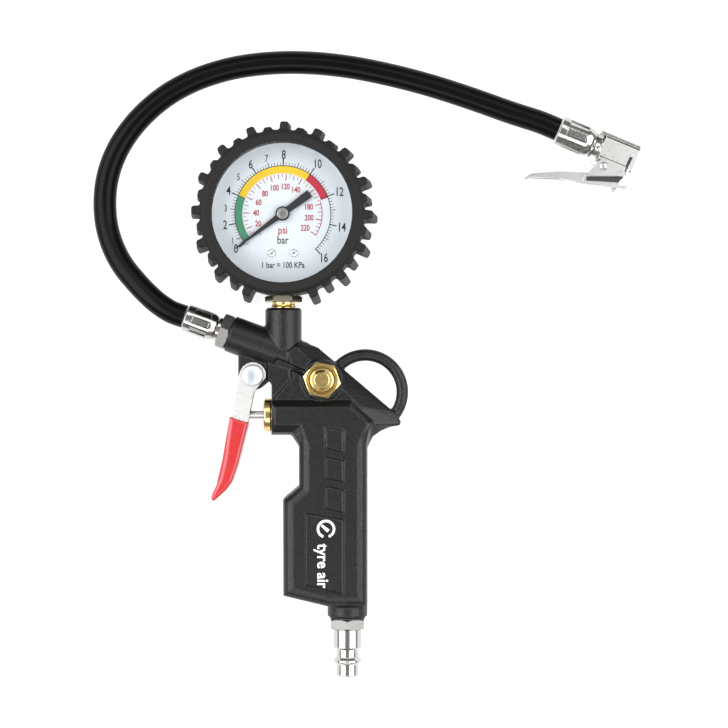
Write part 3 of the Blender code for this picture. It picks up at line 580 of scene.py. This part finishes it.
def make_dial_print():
    """Bar scale outside, psi scale inside and the three coloured bands between them."""
    unit = DIAL_UNIT
    black = [ring_arc(47.6 * unit, 48.3 * unit, BAR_ZERO, bar_angle(16.0), PRINT_LOW, PRINT_HIGH)]
    for i in range(0, 81):
        value = i / 5.0
        if i % 10 == 0:
            start = 40.4 if value in (4.0, 10.0, 12.0) else 47.6
            black.append(tick(start * unit, 47.8 * unit, bar_angle(value), 0.24))
            black.append(tick(47.6 * unit, 55.0 * unit, bar_angle(value), 0.5))
        elif i % 5 == 0:
            black.append(tick(47.6 * unit, 53.0 * unit, bar_angle(value), 0.3))
        elif value > 1.0 or i % 2 == 0:
            black.append(tick(47.6 * unit, 51.4 * unit, bar_angle(value), 0.22))
    for value in (1, 3, 5, 7):
        black.append(lettering(str(value), 4.2, polar(57.2 * unit, bar_angle(value)), squeeze=0.66,
                               weight=0.02))
    for value in range(0, 17, 2):
        radius = 58.6 if value < 10 else 60.4
        black.append(lettering(str(value), 5.3, polar(radius * unit, bar_angle(value) - 0.4),
                               squeeze=0.7, weight=0.06))
    black.append(lettering("bar", 4.7, (0.0, -26.6 * unit), squeeze=0.8, weight=0.04))
    black.append(lettering("1 bar = 100 KPa", 3.7, (0.0, -51.5 * unit), squeeze=0.76, weight=0.05))
    black.append(tick(68.6 * unit, 70.0 * unit, 270.0, 0.25))

    red = [ring_arc(39.0 * unit, 39.7 * unit, bar_angle(12.0) - 3.0, bar_angle(221.0 / PSI_PER_BAR),
                    PRINT_LOW, PRINT_HIGH)]
    for psi in range(10, 221, 5):
        angle = bar_angle(psi / PSI_PER_BAR)
        if psi % 20 == 0:
            red.append(tick(33.2 * unit, 39.6 * unit, angle, 0.38))
        elif psi % 10 == 0:
            red.append(tick(35.0 * unit, 39.6 * unit, angle, 0.28))
        else:
            red.append(tick(36.6 * unit, 39.6 * unit, angle, 0.22))
    for psi in range(20, 221, 20):
        radius = 27.0 if psi in (100, 120, 140) else 26.6
        red.append(lettering(str(psi), 3.5, polar(radius * unit, bar_angle(psi / PSI_PER_BAR)),
                             squeeze=0.74, weight=0.07))
    red.append(lettering("0", 2.2, (-23.0 * unit, -20.0 * unit), squeeze=0.6))
    red.append(lettering("psi", 4.7, (0.0, -16.6 * unit), squeeze=0.8, weight=0.04))

    bands = [
        ("green_band", GREEN_INK, BAR_ZERO - 1.0, bar_angle(4.0)),
        ("yellow_band", YELLOW_INK, bar_angle(4.0), bar_angle(10.0)),
        ("red_band", SCARLET_INK, bar_angle(10.0), bar_angle(12.0) - 1.5),
    ]
    spot = Matrix.Translation(ZERO)
    add("print_black", joined(black), BLACK_INK, "gun", spot)
    add("print_red", joined(red), RED_INK, "gun", spot)
    for name, look, start, end in bands:
        mesh = ring_arc(BAND_IN, BAND_OUT, start, end, PRINT_LOW, PRINT_HIGH)
        add(name, mesh, look, "gun", spot)


def make_gauge():
    """Dial, front ring, window and the two dial screws."""
    spot = Matrix.Translation(ZERO)
    plate = turned([(0.0, DIAL_W), (30.2, DIAL_W), (30.2, DIAL_W - 0.8), (0.0, DIAL_W - 0.8)], 128)
    dial = add("dial_plate", plate, DIAL, "gun", spot)
    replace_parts(dial, "gauge_dial")
    make_dial_print()

    bezel = turned([(29.9, 17.6), (30.1, 17.9), (31.4, 17.9), (31.7, 17.6), (31.7, 15.3),
                    (29.9, 15.3)], 128, closed=True)
    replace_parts(add("bezel_ring", bezel, STEEL, "gun", spot), "gauge_bezel")
    pane = turned([(0.0, 15.1), (20.0, 15.05), (30.2, 14.8), (30.4, 14.6), (30.4, 13.2), (30.2, 13.0),
                   (0.0, 13.2)], 128)
    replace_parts(add("window_pane", pane, WINDOW, "gun", spot), "gauge_window")

    for node in ("dial_screw_left", "dial_screw_right"):
        where = middle(node)
        head = turned([(0.0, 1.15), (0.8, 1.1), (1.4, 0.8), (1.7, 0.3), (1.7, 0.02), (0.0, 0.02)], 32)
        slot = flat([(-2.0, -0.22), (2.0, -0.22), (2.0, 0.22), (-2.0, 0.22)], 0.75, 2.0)
        slot.transform(Matrix.Rotation(math.radians(28.0), 4, "Z"))
        head = boolean(head, slot, "DIFFERENCE")
        smooth(head, 30.0)
        spot_screw = Matrix.Translation(Vector((where.x, where.y, MIDDLE + DIAL_W * MM)))
        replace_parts(add(f"{node}_head", head, STEEL, "gun", spot_screw), node)


def make_hand():
    """Pointer with its broad tail and its bush."""
    spot = Matrix.Translation(ZERO) @ Matrix.Rotation(math.radians(REST_HAND_ANGLE), 4, "Z")
    low, thick = 9.6, 0.5
    blade = [(-14.4, -1.68), (-14.1, -1.78), (-2.6, -1.35), (0.0, -2.9), (2.4, -1.22), (25.0, -0.22),
             (25.0, 0.22), (2.4, 1.22), (0.0, 2.9), (-2.6, 1.35), (-14.1, 1.78), (-14.4, 1.68)]
    collar = turned([(0.0, 10.7), (2.8, 10.7), (3.05, 10.5), (3.05, 9.3), (0.0, 9.3)], 48)
    mesh = boolean(flat(blade, low, low + thick), collar, "UNION")
    smooth(mesh, 30.0)
    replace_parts(add("hand_blade", mesh, HAND, "gauge_hand", spot), "pointer")
    hub = turned([(0.0, 11.1), (0.35, 11.1), (0.4, 11.55), (1.9, 11.6), (2.35, 11.4), (2.45, 11.1),
                  (2.45, 10.75), (0.0, 10.75)], 48)
    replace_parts(add("hand_hub", hub, NUT, "gauge_hand", spot), "pointer_hub")


def make_boot():
    """The toothed boot with its rubber edges rounded."""
    voxel = 0.5
    mesh = softened([nodes["gauge_boot"].data], voxel, 3)
    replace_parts(add("boot_finish", mesh, BOOT, "gun"), "gauge_boot")


# ---------------------------------------------------------------- turned brass and nickel pieces
PLUG_LENGTH = 25.7


def make_inlet_plug():
    """Quick-connect plug, turned about its own axis, with its hexagon."""
    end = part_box("inlet_plug")[0].y
    axis_x = middle("inlet_plug").x
    origin = Vector((axis_x, end + PLUG_LENGTH * MM, MIDDLE))
    outer = [(3.4, 25.4), (3.6, PLUG_LENGTH), (4.2, PLUG_LENGTH), (4.85, 25.0), (4.85, 20.6), (5.1, 20.2),
             (5.8, 19.7), (5.97, 19.4), (5.97, 18.8), (5.8, 18.4), (4.95, 17.6), (4.75, 17.2),
             (4.75, 14.1), (5.0, 13.7), (5.8, 13.3), (6.0, 13.0), (6.0, 5.6), (5.6, 5.2), (5.6, 1.1),
             (5.7, 0.9), (5.7, -11.5), (3.4, -11.5)]
    body = turned(outer, 72, closed=True)
    nut = boolean(hex_block(8.2, 1.1, 5.2, 30.0), turned([(0.0, 6.0), (5.5, 6.0), (5.5, 0.0),
                                                         (0.0, 0.0)], 48), "DIFFERENCE")
    smooth(nut, 12.0)
    spot = facing((0.0, -1.0, 0.0), origin)
    plug = add("plug_finish", body, NICKEL, "gun", spot)
    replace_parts(plug, "inlet_plug")
    add("plug_nut", nut, NUT, "gun", spot)


def crimp_ferrule(radius, length, mouth, nose, flats=8, depth=0.6, pocket=3.1):
    """A crimped ferrule: a thin tube with a ring of pressed pockets and a drawn-in end."""
    mesh = turned([(mouth, length), (nose, length), (nose + 0.7, length - 0.25),
                   (radius - 0.1, length - 1.9), (radius, length - 2.6), (radius, 0.35),
                   (radius - 0.35, 0.0), (radius - 0.8, 0.15), (mouth + 0.02, 0.6)], 96, closed=True)
    pockets = []
    for i in range(flats):
        inner = radius - depth
        outline = [(inner, -pocket / 2.0), (radius + 1.0, -pocket / 2.0), (radius + 1.0, pocket / 2.0),
                   (inner, pocket / 2.0)]
        tool = flat(outline, 3.4, length - 3.2)
        tool.transform(Matrix.Rotation(2.0 * math.pi * i / flats, 4, "Z"))
        pockets.append(tool)
    mesh = boolean(mesh, joined(pockets), "DIFFERENCE")
    return rolled(mesh, 0.12, 24.0, 2)


def make_gun_fitting():
    """Hexagon fitting and ferrule where the hose meets the barrel."""
    angle = math.radians(BARREL_ANGLE)
    along = Vector((math.cos(angle), math.sin(angle), 0.0))
    end = at(*BARREL_END)
    spot = facing(-along, end)
    nut = hex_block(8.0, 0.3, 4.6, 38.0)
    add("fitting_nut", nut, NUT, "gun", spot)
    neck = turned([(1.8, 20.2), (3.0, 20.2), (3.0, 6.3), (4.9, 6.2), (5.3, 5.8), (5.3, 4.4), (4.6, 4.0),
                   (4.6, -11.0), (1.8, -11.0)], 48, closed=True)
    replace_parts(add("fitting_neck", neck, NICKEL, "gun", spot), "hose_fitting")
    ferrule = crimp_ferrule(6.0, 13.9, 3.4, 4.6)
    spot = facing(along, end - along * 20.4 * MM)
    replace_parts(add("gun_ferrule", ferrule, NICKEL, "gun", spot), "ferrule_gun")


def make_deflate_valve():
    """Hexagon housing with a bowl, and the push button in it, hollow over its spring."""
    low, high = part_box("bleed_housing")
    where = Vector(((low.x + high.x) / 2.0, (low.y + high.y) / 2.0, MIDDLE))
    block = hex_block(8.08, 10.1, 14.6, -11.0, 1.3)
    bowl = turned([(0.0, 16.0), (6.1, 16.0), (6.1, 14.5), (5.75, 14.2), (5.7, 10.9), (0.0, 10.9)], 64)
    block = boolean(block, bowl, "DIFFERENCE")
    shank = boolean(block, turned([(0.0, 10.95), (4.3, 10.95), (4.3, 1.3), (0.0, 1.3)], 32), "UNION")
    shank = boolean(shank, turned([(0.0, 12.0), (2.0, 12.0), (2.0, 0.0), (0.0, 0.0)], 32), "DIFFERENCE")
    smooth(shank, 12.0)
    spot = Matrix.Translation(where)
    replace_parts(add("deflate_housing", shank, BRASS, "gun", spot), "bleed_housing")
    button = turned([(0.0, 16.8), (3.0, 16.8), (3.2, 16.7), (4.4, 15.5), (4.8, 15.3), (5.1, 14.9),
                     (5.15, 13.5), (5.0, 13.4), (3.6, 13.4), (3.6, 15.2), (1.6, 15.2), (1.6, -1.2),
                     (0.0, -1.2)], 64)
    smooth(button, 15.0)
    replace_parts(add("deflate_button", button, BRASS, "deflate_button", spot), "bleed_button")


def make_valve_spring():
    """A steel copy of the CAD spring coil in the CAD's place, shown instead of the CAD node and fixed to
    no body.
    """
    coil = loose("valve_spring_coil", nodes["valve_spring"].data.copy())
    smooth(coil.data)
    coil.data.materials.clear()
    coil.data.materials.append(STEEL)
    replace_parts(coil, "valve_spring")
    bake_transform(coil)


def make_gland_nut():
    """Round slotted nut that the valve pin comes out of."""
    nut_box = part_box("gland_nut")
    centre = Vector((nut_box[1].x - 7.2 * MM, middle("gland_nut").y, MIDDLE))
    nut = [(2.1, 7.2), (5.0, 7.2), (5.0, -0.3), (6.6, -0.3), (7.1, -0.7), (7.1, -2.7), (6.9, -3.1),
           (6.3, -3.4), (3.2, -3.4), (2.9, -3.1), (2.1, -3.1)]
    mesh = turned(nut, 72, closed=True)
    slot = flat([(-9.0, -0.9), (9.0, -0.9), (9.0, 0.9), (-9.0, 0.9)], -6.0, -2.2)
    mesh = boolean(mesh, slot, "DIFFERENCE")
    smooth(mesh, 25.0)
    spot = facing((1.0, 0.0, 0.0), centre)
    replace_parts(add("gland_nut_finish", mesh, BRASS, "gun", spot), "gland_nut")


def make_stem():
    """The gauge's brass stem with its hexagon and the block that carries the movement."""
    stem = [(1.5, 51.0), (4.6, 51.0), (4.6, 39.6), (5.2, 39.6), (5.35, 39.4), (5.0, 38.8),
            (4.9, 38.2), (5.0, 37.6), (5.0, 26.0), (1.5, 26.0)]
    spot = facing((0.0, -1.0, 0.0), ZERO)
    mesh = turned(stem, 64, closed=True)
    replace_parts(add("stem_finish", mesh, BRASS, "gun", spot), "gauge_socket")
    flange = boolean(hex_block(8.0, 34.8, 37.6, 0.0, 0.7),
                     turned([(0.0, 40.0), (4.9, 40.0), (4.9, 34.0), (0.0, 34.0)], 48), "DIFFERENCE")
    smooth(flange, 12.0)
    add("stem_flange", flange, PALE_BRASS, "gun", spot)
    block = flat([(-7.2, -28.0), (7.2, -28.0), (7.2, -19.5), (-7.2, -19.5)], -9.0, -3.1)
    add("stem_block", block, BRASS, "gun", Matrix.Translation(ZERO))


# ---------------------------------------------------------------- lever
def make_lever():
    """Sheet lever, its sleeve with the front closed, and the rivet."""
    edged("lever", "squeeze_lever", BRIGHT_STEEL, 0.3)
    where = middle("lever_pivot_pin")
    front = flat([(-9.05, -17.6), (-9.85, -17.6), (-11.5, -27.0), (-13.0, -36.0), (-14.8, -43.6),
                  (-15.5, -46.2), (-14.3, -45.8), (-13.8, -43.6), (-12.1, -36.0), (-10.6, -27.0)],
                 -7.0, 7.0)
    front.transform(Matrix.Translation(Vector((where.x, where.y, MIDDLE))))
    skin = softened([nodes["lever_sleeve"].data, front], 0.3, 5)
    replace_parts(add("sleeve_finish", skin, SLEEVE, "squeeze_lever"), "lever_sleeve")
    rivet = turned([(0.0, 7.5), (1.6, 7.6), (3.1, 7.9), (3.7, 8.1), (4.2, 7.9), (4.5, 7.4), (4.6, 6.3),
                    (2.1, 6.3), (2.1, -6.3), (3.6, -6.3), (3.6, -7.0), (2.4, -7.6), (0.0, -7.6)], 64)
    spot = Matrix.Translation(Vector((where.x, where.y, MIDDLE)))
    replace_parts(add("pivot_rivet", rivet, ZINC, "gun", spot), "lever_pivot_pin")


# ---------------------------------------------------------------- chuck
def make_chuck():
    """Ferrule, body, shell and thumb lever; returns every piece that goes with the hose's end."""
    angle = math.radians(CHUCK_ANGLE)
    along = Vector((math.cos(angle), math.sin(angle), 0.0))
    origin = at(*CHUCK)
    ferrule = crimp_ferrule(6.4, 15.2, 3.5, 4.9)
    on_cord = []
    made = add("chuck_ferrule", ferrule, NICKEL, "gun", facing(along, origin))
    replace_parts(made, "ferrule_chuck")
    on_cord.append(made)
    for node, slot, look, width in (("chuck_body", "nickel", NICKEL, 0.15),
                                    ("chuck_shell", "steel", STEEL, 0.3)):
        on_cord.append(edged(node, "gun", look, width))
    on_cord.append(edged("chuck_lever", "thumb_lever", STEEL, 0.3))
    spot = Matrix.Translation(origin) @ Matrix.Rotation(angle, 4, "Z")
    face, web = 6.6, 5.0
    rail = flat([(16.9, 4.5), (35.4, 4.5), (35.4, 6.0), (16.9, 6.0)], -7.5, 7.5)
    on_cord.append(add("shell_rail", rolled(rail, 0.4), NICKEL, "gun", spot))
    # painted shadow: thin near-black strips on the shell's faces where shadow falls, under the rail,
    # along the ear's top edge, in the slit and at the lower end
    lines = []
    for side in (1.0, -1.0):
        for outline in ([(19.9, 4.1), (35.2, 4.1), (35.2, 4.6), (19.9, 4.6)],
                        [(19.9, -4.7), (32.2, -4.7), (32.2, -4.25), (19.9, -4.25)],
                        [(32.0, -6.6), (33.0, -6.6), (33.6, 0.2), (32.2, 0.2)],
                        [(34.1, -6.0), (35.3, -6.0), (35.3, -5.7), (34.1, -5.7)]):
            lines.append(flat(outline, side * face - 0.04, side * face + 0.04))
    on_cord.append(add("shell_painted_shadow_lines", joined(lines), PAINTED_SHADE_STEEL, "gun", spot))
    # painted shadow: near-black plates on the thumb lever's webs, where the lever's channel lies in shade
    # below the ears
    hollow = [(18.4, -14.7), (33.4, -8.6), (31.9, -11.9), (18.9, -16.4)]
    painted_shadow_plates = [flat(hollow, side * web - 0.15, side * web + 0.15) for side in (1.0, -1.0)]
    on_cord.append(add("thumb_painted_shadow", joined(painted_shadow_plates), PAINTED_SHADE_STEEL, "thumb_lever", spot))
    wing = [(-5.9, -24.96), (-0.1, -22.79), (7.03, -20.0), (17.6, -17.4), (17.8, -12.94),
            (6.52, -17.14), (-4.05, -22.41)]
    wings = [flat(wing, low, low + 0.8) for low in (web - 0.7, -web - 0.1)]
    on_cord.append(add("thumb_wings", rolled(joined(wings), 0.2), STEEL, "thumb_lever", spot))
    for node in ("chuck_gasket", "chuck_core_pin", "chuck_lever_pin", "chuck_spring"):
        on_cord.append(nodes[node])
    return on_cord


# ---------------------------------------------------------------- grip mark: a plain generic badge
PANEL_DEPTH = 0.8


def make_badge():
    """A plain gauge sign and plain lettering, printed down the grip's large panel."""
    face = (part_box("gun_body")[1].z - MIDDLE) / MM
    low = face - PANEL_DEPTH + 0.02
    high = low + PRINT_THICK
    ring = ring_arc(2.9, 3.9, 250.0, -70.0, low, high, 6.0)
    needle = flat([(-2.5, -0.45), (1.4, -0.75), (1.4, 0.75), (-2.5, 0.45)], low, high)
    needle.transform(Matrix.Rotation(math.radians(-40.0), 4, "Z"))
    sign = joined([ring, needle])
    sign.transform(Matrix.Translation(Vector((1.3, 3.6, 0.0)) * MM))
    word = lettering("tyre air", 6.9, (0.0, 0.0), squeeze=0.92, weight=0.1)
    word.transform(Matrix.Translation(Vector((-0.2, -12.1, low - PRINT_W)) * MM)
                   @ Matrix.Rotation(math.radians(-90.0), 4, "Z"))
    add("grip_badge", joined([sign, word]), WHITE_INK, "gun",
        Matrix.Translation(at(17.2, -137.5)))


# ---------------------------------------------------------------- floor and light
def light(name, where, aim, size, power):
    """A soft white panel that faces a point."""
    data = bpy.data.lights.new(name, "AREA")
    data.shape = "RECTANGLE"
    data.size, data.size_y = size
    data.energy = power
    made = bpy.data.objects.new(name, data)
    made.location = where
    direction = Vector(aim) - Vector(where)
    made.rotation_euler = direction.to_track_quat("-Z", "Y").to_euler()
    bpy.context.scene.collection.objects.link(made)


def make_stage():
    """White floor that glows a little, a dim world and four soft panels, in metres."""
    mesh = bpy.data.meshes.new("floor")
    reach = 6.0
    bm = bmesh.new()
    bmesh.ops.create_grid(bm, x_segments=1, y_segments=1, size=reach)
    bm.to_mesh(mesh)
    bm.free()
    floor = bpy.data.objects.new("floor", mesh)
    floor.location = (0.0, 0.0, FLOOR_Z - 0.0003)
    bpy.context.scene.collection.objects.link(floor)
    look = bpy.data.materials.new("floor")
    look.use_nodes = True
    shader = look.node_tree.nodes["Principled BSDF"]
    shader.inputs["Base Color"].default_value = (0.3, 0.3, 0.3, 1.0)
    shader.inputs["Roughness"].default_value = 0.9
    shader.inputs["Specular IOR Level"].default_value = 0.0
    shader.inputs["Emission Color"].default_value = (1.0, 1.0, 1.0, 1.0)
    shader.inputs["Emission Strength"].default_value = 0.88
    floor.data.materials.append(look)

    world = bpy.data.worlds.new("studio")
    bpy.context.scene.world = world
    world.use_nodes = True
    world.node_tree.nodes["Background"].inputs["Color"].default_value = (1.0, 1.0, 1.0, 1.0)
    world.node_tree.nodes["Background"].inputs["Strength"].default_value = 0.25
    centre = at(20.0, -60.0, 0.0)
    for name, offset, size, power in (("left_panel", (-0.78, 0.05, 0.8), (1.3, 1.0), 17.5),
                                      ("right_panel", (0.78, 0.05, 0.8), (1.3, 1.0), 15.5),
                                      ("back_panel", (0.0, 0.75, 1.0), (1.0, 0.4), 3.0),
                                      ("front_panel", (0.0, -0.75, 1.0), (1.0, 0.4), 5.0)):
        light(name, centre + Vector(offset), centre, size, power)
    bpy.context.scene.view_settings.view_transform = "Standard"


# ---------------------------------------------------------------- assembly
hose, hose_line, hose_length = make_hose()
on_hose = make_chuck()
make_casting()
make_gauge()
make_hand()
make_boot()
make_inlet_plug()
make_gun_fitting()
make_deflate_valve()
make_valve_spring()
make_gland_nut()
make_stem()
make_lever()
make_badge()
make_stage()

# CAD pieces that are shown as they are, with the look of each
KEPT = {
    STEEL: ("gauge_case", "zero_stop_pin", "valve_pin", "bleed_spring", "pinion_arbor",
            "sector_arbor", "chuck_core_pin", "chuck_lever_pin", "chuck_spring"),
    BRASS: ("valve_seat", "valve_poppet", "inlet_filter", "movement_plate_back",
            "movement_plate_front", "movement_pillar_a", "movement_pillar_b", "movement_pillar_c",
            "hairspring", "bourdon_tube", "sector_gear"),
    SEAL: ("gland_oring", "bleed_seal", "inlet_washer", "chuck_gasket"),
}
for look, names in KEPT.items():
    for name in names:
        nodes[name].data.materials.clear()
        nodes[name].data.materials.append(look)
        smooth(nodes[name].data, 35.0)
